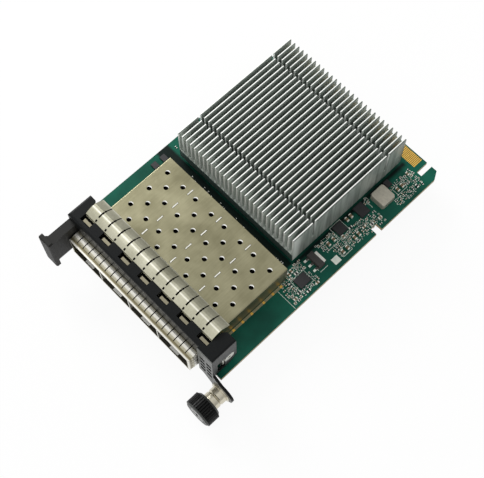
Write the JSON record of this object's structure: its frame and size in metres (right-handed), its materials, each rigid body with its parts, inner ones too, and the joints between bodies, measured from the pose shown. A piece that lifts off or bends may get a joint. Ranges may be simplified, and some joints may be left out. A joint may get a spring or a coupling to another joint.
{
  "type": "mezzanine network card",
  "caption": "Network card with a ganged port cage, finned heatsink, sprung bracket gasket, pull tab and captive thumbscrew.",
  "frame": {"origin": "middle of the contact edge, on the component face of the board", "axes": "+Y towards the contact edge, +Z away from the component face, +X towards the thumbscrew"},
  "size_m": [0.0833, 0.1201, 0.0324],
  "materials": {
    "board": "green solder mask, satin",
    "gold": "gold plated, smooth",
    "cage": "nickel plated sheet",
    "gasket": "bright spring sheet",
    "black_sheet": "black, satin",
    "steel": "nickel plated",
    "dark_steel": "dark oxide",
    "black_plastic": "black, matte",
    "heatsink": "extruded, satin",
    "chip": "moulded, matte",
    "pad": "soft pad, matte",
    "inductor": "pressed powder, matte",
    "ceramic": "ceramic with tinned ends",
    "connector": "moulded, matte"
  },
  "bodies": {
    "card": {"circuit_board": "board", "edge_contacts_top": "gold", "edge_contacts_bottom": "gold", "cage_cover": "cage", "cage_base": "cage", "cage_dividers": "cage", "front_gasket": "gasket", "gasket_strip": "gasket", "bracket": "black_sheet", "mounting_blocks": "steel", "side_screws": "dark_steel", "board_screws": "steel", "pull_tab": "black_plastic", "pull_tab_screws": "dark_steel", "thumbscrew_ferrule": "steel", "heatsink": "heatsink", "heatsink_standoffs": "steel", "heatsink_screws": "steel", "network_controller": "chip", "thermal_pad": "pad", "inductor": "inductor", "power_stage_rear": "chip", "power_stage_middle": "chip", "management_chip": "chip", "small_chips": "chip", "linear_regulator": "chip", "capacitors": "ceramic", "underside_chips": "chip", "underside_capacitors": "ceramic", "host_connector_1": "connector", "host_connector_2": "connector", "host_connector_3": "connector", "host_connector_4": "connector"},
    "thumbscrew_slider": {"thumbscrew_spring": "steel"},
    "thumbscrew_turner": {"thumbscrew_knob": "black_plastic", "thumbscrew_screw": "steel"}
  },
  "joints": [
    {"name": "thumbscrew_press", "type": "slide", "parent": "card", "child": "thumbscrew_slider", "axis": [0, 1, 0], "range_m": [0, 0.003], "stiffness_N_per_m": 300, "springref_m": -0.002},
    {"name": "thumbscrew_turn", "type": "hinge", "parent": "thumbscrew_slider", "child": "thumbscrew_turner", "pos_m": [0.0398, -0.117, -0.0065], "axis": [0, 1, 0], "continuous": true}
  ]
}
